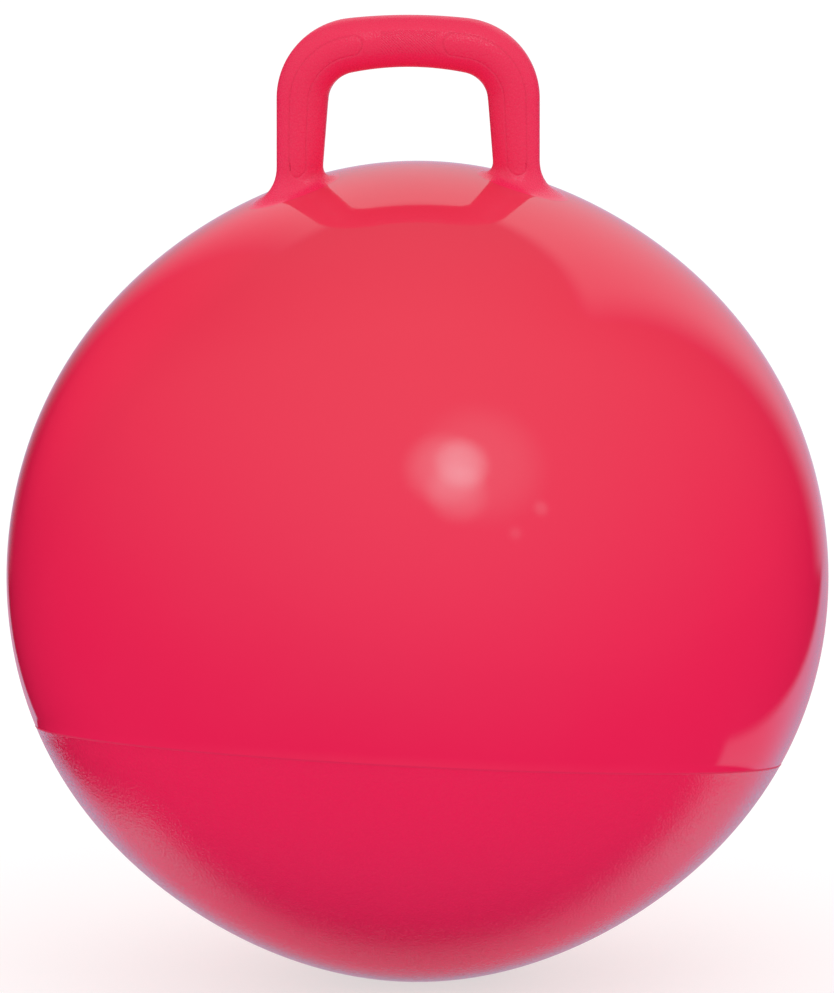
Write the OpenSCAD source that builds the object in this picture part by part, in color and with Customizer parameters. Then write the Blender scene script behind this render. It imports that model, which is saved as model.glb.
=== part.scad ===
// A hopper ball: a hollow soft skin with a hollow loop handle on top and a plug valve
// let into its upper rear. Millimetres, +Z up, the front faces -Y.
// The origin is the middle of the patch that the ball stands on.

/* [Ball] */
// Widest diameter of the inflated ball
ball_d = 550; // [450:5:650]
// Thickness of the ball's skin
skin_wall = 1.2; // [0.8:0.1:2.5]
// Radius of the patch that the ball's own weight presses flat
patch_r = 24; // [12:1:40]

/* [Parting rib] */
// Height of the rib's middle below the middle of the ball
seam_drop = 118; // [80:1:150]
// Sideways tilt of the rib, in degrees, high on the left
seam_tilt = 3; // [0:0.5:6]
// Forward tilt of the rib, in degrees, high at the front
seam_lean = 9; // [0:0.5:12]
// Width of the rib
seam_w = 1.4; // [0.8:0.1:3]
// Height of the rib above the skin
seam_h = 0.35; // [0.2:0.05:0.8]

/* [Handle] */
// Width over the outside of the legs
handle_w = 175.6; // [150:0.2:200]
// Height from the middle of the ball to the top of the handle
handle_top = 378.7; // [360:0.1:400]
// Sideways place of the handle from the middle of the ball
handle_shift = -6.2; // [-12:0.1:12]
// Thickness of the grip bar at its middle
bar_t = 34.9; // [28:0.1:40]
// Thickness of each leg where it leaves the corner
leg_t = 34.7; // [30:0.1:38]
// How much thinner each leg is where it meets the ball
leg_taper = 4.6; // [0:0.1:8]
// Front to back depth of the tube for each millimetre of its thickness
depth_share = 0.94; // [0.8:0.01:1.1]
// Radius of the bend at the outside of each corner
corner_r = 54.4; // [48:0.1:60]
// Radius of the gentle crown along the top of the bar
crown_top_r = 363; // [300:1:600]
// Radius of the crown along the underside of the bar
crown_low_r = 188; // [150:2:300]
// Thickness of the handle's wall
handle_wall = 2.4; // [1.6:0.1:4]
// Reach of the blend on the outside of each foot
foot_out = 19; // [8:0.5:22]
// Reach of the blend at the front and the back of each foot
foot_side = 13; // [5:0.5:16]
// Reach of the blend between the legs
foot_in = 12; // [4:0.5:14]
// Radius of the air passage from the ball into each leg
passage_r = 10; // [6:0.5:12]

/* [Valve] */
// Angle of the valve above the ball's waist, in degrees, at the rear
valve_rise = 32; // [15:1:45]
// Diameter of the soft seat that is moulded into the skin
seat_d = 30; // [26:1:40]
// Thickness of the seat under the middle of its face
seat_t = 7; // [5:0.5:10]
// Diameter of the thickened skin around the seat
boss_d = 52; // [46:1:70]
// Thickness of that skin
boss_t = 3.6; // [2.8:0.2:5]
// Diameter of the sunk ledge that the plug's head lies in
ledge_d = 19; // [18:0.5:22]
// Depth of the ledge
ledge_depth = 2.4; // [1.6:0.1:3]
// Diameter of the hole for the plug
bore_d = 8; // [6:0.2:10]
// Outer diameter of the sleeve that grips the plug
sleeve_d = 15; // [13:0.5:17]
// Length of the sleeve inside the ball
sleeve_len = 11; // [6:0.5:16]
// Gap all round between the plug and its hole
plug_gap = 0.05; // [0.02:0.01:0.1]

/* [Plug] */
// Diameter of the plug's head
head_d = 16.6; // [14:0.2:17.4]
// Thickness of the head at its edge
head_t = 1.6; // [1:0.1:2.2]
// Height of the head's dome
head_dome = 0.5; // [0:0.1:0.8]
// Length of the shaft under the head
shaft_len = 23; // [20:0.5:30]
// Depth of the grooves between the shaft's rings
groove = 0.5; // [0.3:0.1:0.8]
// Number of rings on the shaft
rings = 4; // [2:1:5]
// Length of the tapered tip
tip_len = 5; // [3:0.5:6]
// Diameter of the hollow up the middle of the shaft
core_d = 4; // [2:0.2:4.6]

/* [Hidden] */

red = [0.91, 0.17, 0.33];
matt_red = [0.87, 0.19, 0.33];
seat_red = [0.8, 0.14, 0.28];
plug_white = [0.95, 0.95, 0.94];

// How far a cut runs past what it cuts
overrun = 1;
// Steps round the ball's outline, and round anything turned about its own axis
arc_steps = 120;
turn_steps = 96;

// The ball's outline isn't quite a circle. It is fuller at the poles and the waist than
// between them, and a little fuller low down than high up. Each departure is a wave round
// the outline: how many times it repeats, and its height as a share of the mean radius.
level_wave_shares = [[2, 0.0016], [4, 0.005], [6, -0.0027]];
sag_wave_shares = [[1, -0.0019], [3, -0.0018], [5, -0.0013]];
function sum(list, i = 0) = i == len(list) ? 0 : list[i] + sum(list, i + 1);
function swell(a) = 1 + sum([for (w = level_wave_shares) w[1] * cos(w[0] * a)])
    + sum([for (w = sag_wave_shares) w[1] * sin(w[0] * a)]);

// Mean radius, so that the widest place measures ball_d
mean_r = ball_d / 2 / max([for (a = [-30 : 1 : 30]) swell(a) * cos(a)]);
// Radius of the ball at the angle a above its waist
function ball_r(a) = mean_r * swell(a);
// Angle at which the outline meets the flat patch
patch_a = -acos(patch_r / ball_r(-90));
// Height of the middle of the ball above the floor
ball_z = -ball_r(patch_a) * sin(patch_a);

// Angle at which the outline is the distance d from the upright axis
function angle_at(d, a = 80, tries = 6) = tries == 0 ? a : angle_at(d, acos(d / ball_r(a)), tries - 1);
// Height of the skin's upper side there
function skin_z(d) = ball_z + ball_r(angle_at(d)) * sin(angle_at(d));

// Outline of the ball, drawn in by inset, from the top down to the flat
function outline(inset) = [
    for (i = [0 : arc_steps])
        let (a = 90 + (patch_a - 90) * i / arc_steps, r = ball_r(a) - inset)
        i == 0 ? [0, ball_z + r] : i == arc_steps ? [patch_r - inset, inset] : [r * cos(a), ball_z + r * sin(a)],
    [0, inset],
];
function backward(list) = [for (i = [len(list) - 1 : -1 : 0]) list[i]];

// The ball as a solid, drawn in by inset
module ball_solid(inset) {
    rotate_extrude($fn = turn_steps) polygon(outline(inset));
}

// Everything on the valve's axis: z is 0 on the skin and rises outwards
valve_r = ball_r(valve_rise);
module at_valve() {
    translate([0, 0, ball_z]) rotate([valve_rise - 90, 0, 0]) translate([0, 0, valve_r]) children();
}

// A flat slice of the ball at the parting line
module seam_slice() {
    translate([0, 0, ball_z - seam_drop]) rotate([-seam_lean, seam_tilt, 0])
        cube([2 * ball_d, 2 * ball_d, seam_w], center = true);
}

// Leg middle at the skin, for the air passages
leg_foot_t = leg_t - leg_taper;
leg_foot_x = handle_w / 2 - leg_foot_t / 2;

module ball_skin() {
    color(red) difference() {
        union() {
            rotate_extrude($fn = turn_steps) polygon(concat(outline(0), backward(outline(skin_wall))));
            // fine rib round the ball where the mould parts
            difference() {
                intersection() {
                    seam_slice();
                    ball_solid(-seam_h);
                }
                ball_solid(skin_wall / 2);
            }
            // thicker skin round the valve
            difference() {
                intersection() {
                    at_valve() cylinder(h = 2 * boss_d, d = boss_d, center = true, $fn = turn_steps);
                    ball_solid(skin_wall / 2);
                }
                ball_solid(boss_t);
            }
        }
        at_valve() cylinder(h = 2 * seat_d, d = seat_d, center = true, $fn = turn_steps);
        for (side = [-1, 1])
            translate([handle_shift + side * leg_foot_x, 0, ball_z])
                cylinder(h = ball_d / 2 + overrun, r = passage_r, $fn = turn_steps);
    }
}

// The handle is one skin lofted through rings. Each ring hangs between a point on the
// outer rail and a point on the inner rail: crown, corner bend, then leg.
ring_sides = 32;
crown_steps = 4;
bend_steps = 9;
leg_steps = 2;
blend_steps = 6;
station_count = crown_steps + bend_steps + leg_steps;

inner_half_w = handle_w / 2 - leg_t;
inner_corner_r = corner_r - leg_t - (bar_t - leg_t);
// Middle of the outer corner bend, up from the middle of the ball
bend_z = handle_top - crown_top_r
    + sqrt(pow(crown_top_r - corner_r, 2) - pow(handle_w / 2 - corner_r, 2));
// Height of the skin midway across a leg, up from the middle of the ball
leg_foot_z = skin_z(leg_foot_x) - ball_z;
// The leg proper ends where the widest blend starts
leg_end_z = leg_foot_z + foot_out;

// A point on a rail, as [distance from the handle's middle, height above the ball's middle]
function rail(half_w, top, crown_r, bend_r, lean, s) =
    let (
        cx = half_w - bend_r,
        cz = top - crown_r + sqrt(pow(crown_r - bend_r, 2) - pow(cx, 2)),
        a = asin(cx / (crown_r - bend_r))
    )
    s <= crown_steps
        ? let (t = a * s / crown_steps) [crown_r * sin(t), top - crown_r + crown_r * cos(t)]
    : s <= crown_steps + bend_steps
        ? let (t = a + (90 - a) * (s - crown_steps) / bend_steps) [cx + bend_r * sin(t), cz + bend_r * cos(t)]
    : let (t = (s - crown_steps - bend_steps) / leg_steps)
        [half_w + lean * (cz - leg_end_z) * t, cz + (leg_end_z - cz) * t];

// The inner side of each leg leans out on its way down
lean = leg_taper / (bend_z - leg_foot_z);
function outer_rail(s) = rail(handle_w / 2, handle_top, crown_top_r, corner_r, 0, s);
function inner_rail(s) = rail(inner_half_w, handle_top - bar_t, crown_low_r, inner_corner_r, lean, s);

// One ring: its middle, its half thickness as a vector, and its half depth, drawn in by inset
function ring(side, outer, inner, inset) =
    let (
        mid = (outer + inner) / 2,
        half = (outer - inner) / 2,
        shrink = 1 - inset / norm(half),
        depth = norm(half) * depth_share - inset
    )
    [for (i = [0 : ring_sides - 1])
        let (a = 360 * i / ring_sides, p = mid + half * shrink * cos(a))
        [handle_shift + side * p.x, depth * sin(a), ball_z + p.y]];
function station(side, s, inset) = ring(side, outer_rail(s), inner_rail(s), inset);

// Half thickness of a leg, and the place of its middle, at a height above the ball's middle
function leg_half(z) = leg_t / 2 - lean * (bend_z - z) / 2;
function leg_mid(z) = handle_w / 2 - leg_half(z);
// Point on the leg's wall, or off it by reach, in the direction a round the leg
function wall_xy(side, z, a, reach) = [
    handle_shift + side * (leg_mid(z) + (leg_half(z) + reach) * cos(a)),
    (leg_half(z) * depth_share + reach) * sin(a),
];
// The blend reaches furthest on the outside of the foot and least between the legs
function reach_at(a) = foot_side + (foot_out - foot_in) / 2 * cos(a)
    + ((foot_out + foot_in) / 2 - foot_side) * pow(cos(a), 2);

// Short way along the skin over which its slope is measured
slope_step = 0.5;
// Height, at one point, of the line that touches the skin at another
function touching_z(at, touch) =
    let (z = skin_z(norm(touch)), slope = (skin_z(norm(touch) - slope_step) - z) / slope_step)
    z + slope * (norm(touch) - norm(at));

// One ring of the blend from the leg, at t = 0, to the skin, at t = 1
function blend_ring(side, t) = [
    for (i = [0 : ring_sides - 1])
        let (
            a = 360 * i / ring_sides,
            reach = reach_at(a),
            foot = wall_xy(side, leg_foot_z, a, 0),
            start_z = skin_z(norm(foot)) + reach,
            start = wall_xy(side, start_z - ball_z, a, 0),
            end = wall_xy(side, leg_foot_z, a, reach),
            p0 = [start.x, start.y, start_z],
            p1 = [foot.x, foot.y, touching_z(foot, end)],
            p2 = [end.x, end.y, skin_z(norm(end))]
        )
        pow(1 - t, 2) * p0 + 2 * t * (1 - t) * p1 + pow(t, 2) * p2
];
// Underside of a foot, on the skin: t = 0 at the edge and t = 1 at the air passage
function under_ring(side, t) = [
    for (i = [0 : ring_sides - 1])
        let (
            a = 360 * i / ring_sides,
            edge = wall_xy(side, leg_foot_z, a, reach_at(a)),
            hole = [handle_shift + side * leg_foot_x + side * passage_r * cos(a), passage_r * sin(a)],
            p = edge * (1 - t) + hole * t
        )
        [p.x, p.y, skin_z(norm(p))]
];

// Rings of one half, from the crown's middle down and under the foot, then up the inside
function outer_half(side) = concat(
    [for (s = [1 : station_count - 1]) station(side, s, 0)],
    [for (i = [0 : blend_steps]) blend_ring(side, i / blend_steps)],
    [under_ring(side, 0.5), under_ring(side, 1)]
);
function inner_half(side) = concat(
    [for (s = [1 : 3 : station_count - 1]) station(side, s, handle_wall)],
    [ring(side, [leg_mid(leg_end_z) + leg_half(leg_end_z), leg_end_z],
        [leg_mid(leg_end_z) - leg_half(leg_end_z), leg_end_z], handle_wall)]
);

module loop_handle() {
    sweep = concat(
        backward(outer_half(-1)),
        [station(1, 0, 0)],
        outer_half(1),
        backward(inner_half(1)),
        [station(1, 0, handle_wall)],
        inner_half(-1)
    );
    n = len(sweep);
    m = ring_sides;
    color(matt_red) polyhedron(
        points = [for (r = sweep) each r],
        faces = [
            for (i = [0 : n - 1], j = [0 : m - 1])
                let (
                    a = i * m + j,
                    b = i * m + (j + 1) % m,
                    c = ((i + 1) % n) * m + (j + 1) % m,
                    d = ((i + 1) % n) * m + j
                )
                each [[a, b, c], [a, c, d]]
        ]
    );
}

module valve_seat() {
    color(seat_red) difference() {
        intersection() {
            at_valve() union() {
                translate([0, 0, -seat_t]) cylinder(h = 2 * seat_t, d = seat_d, $fn = turn_steps);
                translate([0, 0, -seat_t - sleeve_len])
                    cylinder(h = seat_t + sleeve_len, d = sleeve_d, $fn = turn_steps);
            }
            ball_solid(0);
        }
        at_valve() {
            translate([0, 0, -ledge_depth]) cylinder(h = seat_t, d = ledge_d, $fn = turn_steps);
            translate([0, 0, -seat_t - sleeve_len - overrun])
                cylinder(h = 2 * seat_t + sleeve_len, d = bore_d, $fn = turn_steps);
            // scoop for a fingernail under the edge of the plug's head
            translate([0, -ledge_d / 2, 0]) sphere(r = ledge_depth, $fn = turn_steps / 2);
        }
    }
}

module valve_plug() {
    plug_r = bore_d / 2 - plug_gap;
    root_r = plug_r - groove;
    ringed_len = shaft_len - tip_len;
    pitch = ringed_len / rings;
    under = -ledge_depth;
    tip_r = core_d / 2 + groove;
    outline = concat(
        [[0, under + head_t + head_dome]],
        [for (i = [1 : 6]) [head_d / 2 * i / 6, under + head_t + head_dome * (1 - pow(i / 6, 2))]],
        [[head_d / 2, under], [plug_r, under]],
        [for (i = [0 : rings - 1]) each [
            [plug_r, under - pitch * (i + 0.45)],
            [root_r, under - pitch * (i + 0.6)],
            [root_r, under - pitch * (i + 0.9)],
            [plug_r, under - pitch * (i + 1)],
        ]],
        [[tip_r, under - shaft_len], [core_d / 2, under - shaft_len],
            [core_d / 2, under - tip_len], [0, under - tip_len + core_d / 2]]
    );
    color(plug_white) at_valve() rotate_extrude($fn = turn_steps) polygon(outline);
}

ball_skin();
loop_handle();
valve_seat();
valve_plug();
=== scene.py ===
# %% [markdown]
# # A hopper ball
#
# A hopper ball is one blown-up skin of soft red vinyl: a big ball that a child sits on,
# and a loop on top to hold on to. The upper part of the ball is polished, the part below
# the fine parting rib is grained, and the loop is satin with stippled grip panels. At the
# back, a white plug closes the air valve.
#
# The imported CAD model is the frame: it says where everything is. Each cell below makes
# one piece or one finish around it. Lengths are in metres, +Z is up, and the front faces -Y.

# %% Load the frame
from functools import partial
from math import acos, asin, atan2, cos, pi, radians, sin, sqrt

import bmesh
import bpy
from mathutils import Matrix, Vector


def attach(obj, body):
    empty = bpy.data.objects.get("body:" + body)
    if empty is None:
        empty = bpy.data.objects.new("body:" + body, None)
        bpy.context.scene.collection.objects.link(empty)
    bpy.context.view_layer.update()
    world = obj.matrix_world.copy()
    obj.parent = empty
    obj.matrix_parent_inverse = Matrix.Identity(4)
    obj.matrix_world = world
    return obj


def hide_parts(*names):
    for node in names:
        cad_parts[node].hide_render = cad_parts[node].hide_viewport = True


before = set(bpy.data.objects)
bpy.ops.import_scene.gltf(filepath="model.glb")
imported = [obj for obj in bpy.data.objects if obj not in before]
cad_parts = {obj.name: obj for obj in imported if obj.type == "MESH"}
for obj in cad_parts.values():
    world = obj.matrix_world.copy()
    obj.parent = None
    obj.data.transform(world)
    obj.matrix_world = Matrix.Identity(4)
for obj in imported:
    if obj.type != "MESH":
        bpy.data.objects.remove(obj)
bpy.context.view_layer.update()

print("nodes in the frame:", sorted(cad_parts))

# %% [markdown]
# ## The outline of the ball
#
# A blown-up ball isn't a true sphere. This one is a little fuller at its waist and its
# poles than between them, and fuller low down than high up. It could be drawn as a chain of
# arcs, but a few waves over the angle above the waist say the same in one line, and that
# line then places everything that lies on the skin: the rib, the loop's feet and the valve.

# %% Outline of the ball
BALL_WIDTH = 0.550
PATCH_R = 0.024
LEVEL_WAVES = {2: 0.0016, 4: 0.0050, 6: -0.0027}
SAG_WAVES = {1: -0.0019, 3: -0.0018, 5: -0.0013}
WAIST_DEGREES = 30


def swell(angle):
    """Share of the mean radius at an angle above the waist."""
    level = sum(share * cos(count * angle) for count, share in LEVEL_WAVES.items())
    sag = sum(share * sin(count * angle) for count, share in SAG_WAVES.items())
    return 1 + level + sag


near_waist = [radians(degree) for degree in range(-WAIST_DEGREES, WAIST_DEGREES + 1)]
MEAN_R = BALL_WIDTH / 2 / max(swell(a) * cos(a) for a in near_waist)
PATCH_ANGLE = -acos(PATCH_R / (MEAN_R * swell(-pi / 2)))
BALL_Z = -MEAN_R * swell(PATCH_ANGLE) * sin(PATCH_ANGLE)
MIDDLE = Vector((0, 0, BALL_Z))
print(f"mean radius {MEAN_R * 1000:.1f} mm, middle of the ball {BALL_Z * 1000:.1f} mm up")

# %% Points of the skin
FIRST_GUESS = radians(80)
GUESS_ROUNDS = 6


def skin_point(direction, proud=0.0):
    """Point of the skin in a direction from the ball's middle, or proud of it."""
    direction = direction.normalized()
    angle = asin(max(-1, min(1, direction.z)))
    return MIDDLE + direction * (MEAN_R * swell(angle) + proud)


def skin_z(distance):
    """Height of the upper skin at a distance from the upright axis."""
    angle = FIRST_GUESS
    for _ in range(GUESS_ROUNDS):
        angle = acos(distance / (MEAN_R * swell(angle)))
    return BALL_Z + MEAN_R * swell(angle) * sin(angle)


print(f"top of the ball {skin_z(0) * 1000:.1f} mm up")

# %% [markdown]
# ## The camera
#
# The photograph was taken with a long lens from a little above: the loop's mirror image in
# the ball shows how far above. The lens is worked out from how wide the ball is in the
# picture, and where the camera aims from how far the ball's middle lies off the picture's.

# %% Camera
PHOTO_W, PHOTO_H = 834, 993
BALL_PIXEL_X, BALL_PIXEL_Y, BALL_PIXEL_R = 417.5, 571.0, 411.1
CAMERA_BACK = 20.0
CAMERA_RISE = radians(12)
SENSOR = 36.0

ball_r = BALL_WIDTH / 2
focal_pixels = BALL_PIXEL_R * sqrt(CAMERA_BACK ** 2 - ball_r ** 2) / ball_r
aim_right = (PHOTO_W / 2 - BALL_PIXEL_X) / focal_pixels
aim_up = (BALL_PIXEL_Y - PHOTO_H / 2) / focal_pixels
camera_data = bpy.data.cameras.new("camera")
camera_data.sensor_width = SENSOR
camera_data.lens = SENSOR * focal_pixels / PHOTO_H
camera = bpy.data.objects.new("camera", camera_data)
camera.location = MIDDLE + CAMERA_BACK * Vector((0, -cos(CAMERA_RISE), sin(CAMERA_RISE)))
camera.rotation_euler = (pi / 2 - CAMERA_RISE + aim_up, 0, -aim_right)
bpy.context.scene.collection.objects.link(camera)
bpy.context.scene.camera = camera
bpy.context.scene.view_settings.view_transform = "Standard"
print(f"lens {camera_data.lens:.1f} mm, camera {camera.location.z:.3f} m up")

# %% [markdown]
# ## From a bmesh to an object
#
# Every piece ends the same way: its bmesh becomes a mesh object at the origin, gets its
# finishes, rides on a body of the frame and hides the CAD node that it stands for.

# %% Helper that finishes a piece
def make_piece(name, bm, materials, body, node):
    """Turns a bmesh into a smooth object that rides on a body and replaces a CAD node."""
    mesh = bpy.data.meshes.new(name)
    bm.to_mesh(mesh)
    bm.free()
    mesh.shade_smooth()
    for material in materials:
        mesh.materials.append(material)
    piece = bpy.data.objects.new(name, mesh)
    bpy.context.scene.collection.objects.link(piece)
    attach(piece, body)
    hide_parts(node)
    print(f"{name}: {len(mesh.polygons)} faces")
    return piece


# %% [markdown]
# ## Helpers for nodes
#
# A material is a small tree of nodes. Adding a node, setting its values and linking its
# inputs takes three kinds of line, so one helper does all three. The others are the few
# sums and mixes that the finishes and the studio share.

# %% Helpers for nodes
BLACK, WHITE = (0, 0, 0, 1), (1, 1, 1, 1)


def add_node(tree, kind, inputs=None, **settings):
    """Adds a node, sets its properties, and gives its inputs a value or a link."""
    node = tree.nodes.new(kind)
    for name, value in settings.items():
        setattr(node, name, value)
    for socket, value in (inputs or {}).items():
        if isinstance(value, bpy.types.NodeSocket):
            tree.links.new(value, node.inputs[socket])
        else:
            node.inputs[socket].default_value = value
    return node


def maths(tree, operation, first, second=0.0):
    """The result of one sum."""
    return add_node(tree, "ShaderNodeMath", {0: first, 1: second}, operation=operation).outputs[0]


def between(tree, value, low, high, start=0.0, end=1.0, smooth=True):
    """Maps a value from low and high to start and end."""
    kind = "SMOOTHSTEP" if smooth else "LINEAR"
    limits = {"Value": value, "From Min": low, "From Max": high, "To Min": start, "To Max": end}
    return add_node(tree, "ShaderNodeMapRange", limits, interpolation_type=kind).outputs["Result"]


def mix_colour(tree, factor, first, second, blend="MIX"):
    """The mix of two colours. A colour mix takes its factor and colours at 0, 6 and 7."""
    node = add_node(tree, "ShaderNodeMix", {0: factor, 6: first, 7: second},
                    data_type="RGBA", blend_type=blend)
    return node.outputs[2]


# %% Helpers for colours and places
def grey(tree, amount):
    """A grey whose three channels are one amount, which may go past 1."""
    return add_node(tree, "ShaderNodeCombineXYZ", {0: amount, 1: amount, 2: amount}).outputs[0]


def scaled(tree, colour, amount):
    """A colour times an amount."""
    return add_node(tree, "ShaderNodeVectorMath", {0: colour, 1: grey(tree, amount)},
                    operation="MULTIPLY").outputs[0]


def object_place(tree):
    """Where a point of a piece is, in the piece's own coordinates."""
    return add_node(tree, "ShaderNodeTexCoord").outputs["Object"]


def height_of(tree, place):
    """How high a place is above the ground."""
    return add_node(tree, "ShaderNodeSeparateXYZ", {0: place}).outputs["Z"]


# %% [markdown]
# ## Helpers for groups and materials
#
# An effect that several finishes use, such as grain, is a node group that is built once and
# placed in each material with its own values. The Principled BSDF stays in the material, and
# a value that is the same all over the surface is set on the shader itself.

# %% Helpers for groups and materials
COLOUR_SOCKET, NUMBER_SOCKET = "NodeSocketColor", "NodeSocketFloat"


def new_group(name, inputs, outputs):
    """A node group with named sockets, and its input and output nodes."""
    group = bpy.data.node_groups.new(name, "ShaderNodeTree")
    for socket, kind, value in inputs:
        made = group.interface.new_socket(name=socket, in_out="INPUT", socket_type=kind)
        made.default_value = value
    for socket, kind in outputs:
        group.interface.new_socket(name=socket, in_out="OUTPUT", socket_type=kind)
    return group, group.nodes.new("NodeGroupInput"), group.nodes.new("NodeGroupOutput")


def use_group(tree, group, values):
    """Places a group in a material with its own values."""
    return add_node(tree, "ShaderNodeGroup", values, node_tree=group)


def new_material(name, **values):
    """A material with its Principled BSDF, whose plain values are set on the shader itself."""
    material = bpy.data.materials.new(name)
    material.use_nodes = True
    shader = material.node_tree.nodes["Principled BSDF"]
    for socket, value in values.items():
        shader.inputs[socket.replace("_", " ")].default_value = value
    print("finish:", name)
    return material, material.node_tree, shader


def finish_bump(tree, shader, height, depth):
    """Feeds a height, in shares of a depth in metres, to the shader's normal."""
    bump = add_node(tree, "ShaderNodeBump", {"Strength": 1.0, "Distance": depth, "Height": height})
    tree.links.new(bump.outputs["Normal"], shader.inputs["Normal"])


# %% [markdown]
# ## Colour that drifts
#
# Soft vinyl is coloured all through, yet no two places are quite the same red: the pigment
# clouds slightly. This group adds that faint cloud. It also blends two reds between two
# heights of the toy, which paints in light and shade that fall differently high and low on
# it. It only gives a colour, so each finish can use it with its own two reds and its own two heights.

# %% Colour group
LOW_HEIGHT, HIGH_HEIGHT = 0.10, 0.62
CLOUDS_PER_METRE, CLOUD_DETAIL = 9.0, 3.0
ANY_RED = (0.8, 0.1, 0.1, 1)
FAINT_CLOUD = 0.02

tone_and_painted_light, group_in, group_out = new_group(
    "tone_and_painted_light",
    [("Low Colour", COLOUR_SOCKET, ANY_RED), ("High Colour", COLOUR_SOCKET, ANY_RED),
     ("Cloud", NUMBER_SOCKET, FAINT_CLOUD), ("Low Height", NUMBER_SOCKET, LOW_HEIGHT),
     ("High Height", NUMBER_SOCKET, HIGH_HEIGHT)],
    [("Colour", COLOUR_SOCKET)],
)
given = group_in.outputs
place = object_place(tone_and_painted_light)
# Blending by height paints in light and shade that fall differently high and low.
rise = between(tone_and_painted_light, height_of(tone_and_painted_light, place), given["Low Height"], given["High Height"])
base = mix_colour(tone_and_painted_light, rise, given["Low Colour"], given["High Colour"])
cloud = add_node(tone_and_painted_light, "ShaderNodeTexNoise",
                 {"Vector": place, "Scale": CLOUDS_PER_METRE, "Detail": CLOUD_DETAIL})
swing = maths(tone_and_painted_light, "SUBTRACT", cloud.outputs["Fac"], 0.5)
swing = maths(tone_and_painted_light, "MULTIPLY", swing, given["Cloud"])
tinted = scaled(tone_and_painted_light, base, maths(tone_and_painted_light, "ADD", swing, 1.0))
tone_and_painted_light.links.new(tinted, group_out.inputs["Colour"])
print("group tone_and_painted_light:", len(tone_and_painted_light.nodes), "nodes")

# %% [markdown]
# ## Grain
#
# The mould is sand-blasted where the skin should be matt, and leaves a stipple of fine
# pits. Real pits would take millions of faces, so a Bump node stands in for them. Cells of a
# Voronoi texture, broken up by noise, give their height. The group puts out that height, and
# a mask called Hollow that is 1 down in a pit and 0 on the ground between the pits.

# %% Grain group
RUBBLE_DETAIL = 2.0
HOLLOW_LOW, HOLLOW_HIGH = 0.55, 0.95
ANY_CELL, ANY_PITS = 0.0015, 0.5

mould_grain, group_in, group_out = new_group(
    "mould_grain",
    [("Cell", NUMBER_SOCKET, ANY_CELL), ("Pits", NUMBER_SOCKET, ANY_PITS)],
    [("Height", NUMBER_SOCKET), ("Hollow", NUMBER_SOCKET)],
)
place = object_place(mould_grain)
per_metre = maths(mould_grain, "DIVIDE", 1.0, group_in.outputs["Cell"])
pits = add_node(mould_grain, "ShaderNodeTexVoronoi", {"Vector": place, "Scale": per_metre}, feature="F1")
rubble = add_node(mould_grain, "ShaderNodeTexNoise",
                  {"Vector": place, "Scale": per_metre, "Detail": RUBBLE_DETAIL})
pit_height = maths(mould_grain, "MULTIPLY", pits.outputs["Distance"], group_in.outputs["Pits"])
grain_height = maths(mould_grain, "ADD", pit_height, rubble.outputs["Fac"])
hollow = between(mould_grain, grain_height, HOLLOW_LOW, HOLLOW_HIGH, 1.0, 0.0)
mould_grain.links.new(grain_height, group_out.inputs["Height"])
mould_grain.links.new(hollow, group_out.inputs["Hollow"])
print("group mould_grain:", len(mould_grain.nodes), "nodes")

# %% [markdown]
# ## Polished vinyl
#
# The upper skin is as smooth as the polished mould, with the slow ripple that every blown
# vinyl has. A glossy shader shows that ripple in the edges of its reflections, so a very
# shallow bump of wide waves is enough. The crown of the ball, round the feet of the loop, is
# painted a lighter, more orange red: painted light where the top catches the most light. The
# red also turns less blue from low to high, a painted offset for the sheen on the upper skin.

# %% Polished vinyl
VINYL_IOR = 1.5
# The low red is bluer than the high red: painted light, blue taken off high up to offset the sheen there.
LOW_RED = (0.830, 0.0150, 0.0900, 1)
HIGH_RED = (0.808, 0.0148, 0.0580, 1)
# The crown's lighter, more orange red is painted light on the top of the ball.
CROWN_PAINTED_LIGHT_RED = (0.808, 0.0360, 0.0800, 1)
CROWN_LOW, CROWN_HIGH = 0.46, 0.545
BALL_CLOUD = 0.03
SMEARS_PER_METRE, SMEAR_DETAIL = 14.0, 4.0
SMEAR_LOW, SMEAR_HIGH = 0.35, 0.7
POLISHED_ROUGHNESS = (0.05, 0.09)
RIPPLES_PER_METRE, RIPPLE_DETAIL = 24.0, 1.0
RIPPLE_DEPTH = 0.00006

polished, tree, shader = new_material("polished_vinyl", IOR=VINYL_IOR)
red = use_group(tree, tone_and_painted_light, {"Low Colour": LOW_RED, "High Colour": HIGH_RED, "Cloud": BALL_CLOUD})
place = object_place(tree)
# Painted light: the crown is blended towards the lighter red.
painted_crown_light = between(tree, height_of(tree, place), CROWN_LOW, CROWN_HIGH)
tree.links.new(mix_colour(tree, painted_crown_light, red.outputs["Colour"], CROWN_PAINTED_LIGHT_RED), shader.inputs["Base Color"])
smears = add_node(tree, "ShaderNodeTexNoise",
                  {"Vector": place, "Scale": SMEARS_PER_METRE, "Detail": SMEAR_DETAIL})
tree.links.new(between(tree, smears.outputs["Fac"], SMEAR_LOW, SMEAR_HIGH, *POLISHED_ROUGHNESS),
               shader.inputs["Roughness"])
ripple = add_node(tree, "ShaderNodeTexNoise",
                  {"Vector": place, "Scale": RIPPLES_PER_METRE, "Detail": RIPPLE_DETAIL})
finish_bump(tree, shader, ripple.outputs["Fac"], RIPPLE_DEPTH)

# %% [markdown]
# ## Grained vinyl
#
# Below the parting rib the skin is grained, so that it grips the floor. The vinyl shines
# between the pits, and the pits are dull. A bump alone would smear the edge of a reflection,
# so the shine is split: the shader itself shines weakly and follows the bump, and a clear
# coat carries the rest. The coat thins out in the pits, so each pit dulls the reflection.

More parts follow.
